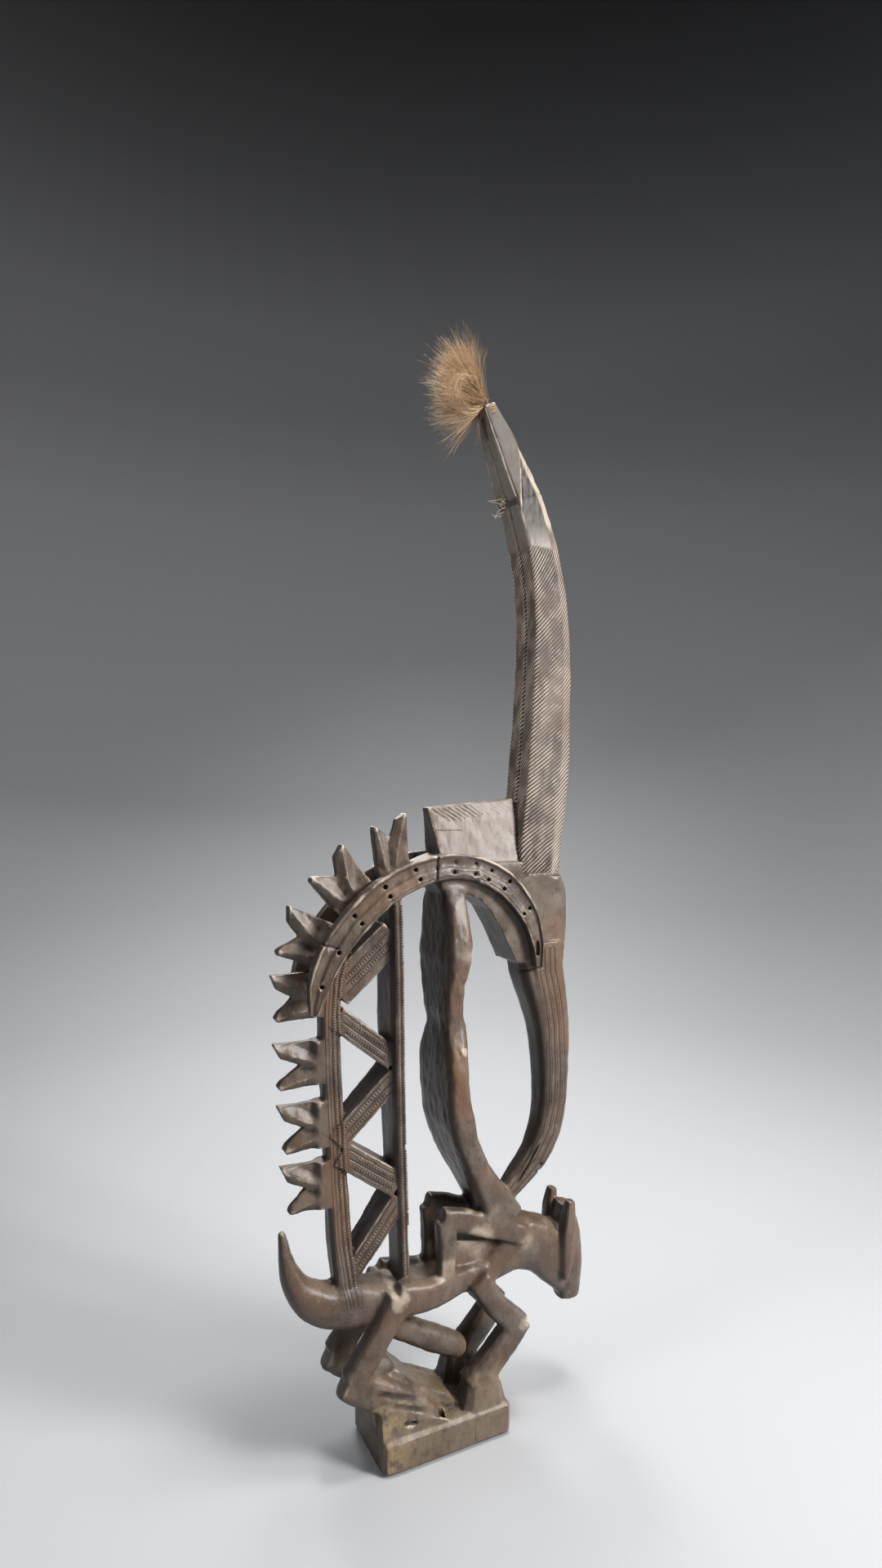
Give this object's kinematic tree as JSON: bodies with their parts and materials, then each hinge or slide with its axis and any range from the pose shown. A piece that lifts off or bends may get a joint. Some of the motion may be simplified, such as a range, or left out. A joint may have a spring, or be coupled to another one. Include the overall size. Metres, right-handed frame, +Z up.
{
  "type": "chiwara headdress",
  "caption": "Upright carved wooden antelope headdress with crouching animal base, pierced zigzag mane, long curved horns and a hair tuft.",
  "frame": {"origin": "middle of the plinth's underside", "axes": "+Z up, +X the way the animals face, Y = 0 the middle plane"},
  "size_m": [0.3157, 0.076, 1.0095],
  "materials": {
    "carved_wood": "dark worn patina, satin where handled, matt grey at the horn tips",
    "tied_hair": "dry golden-brown animal hair"
  },
  "bodies": {
    "root": {"carved_headdress": "carved_wood", "hair_tuft": "tied_hair"}
  },
  "joints": []
}
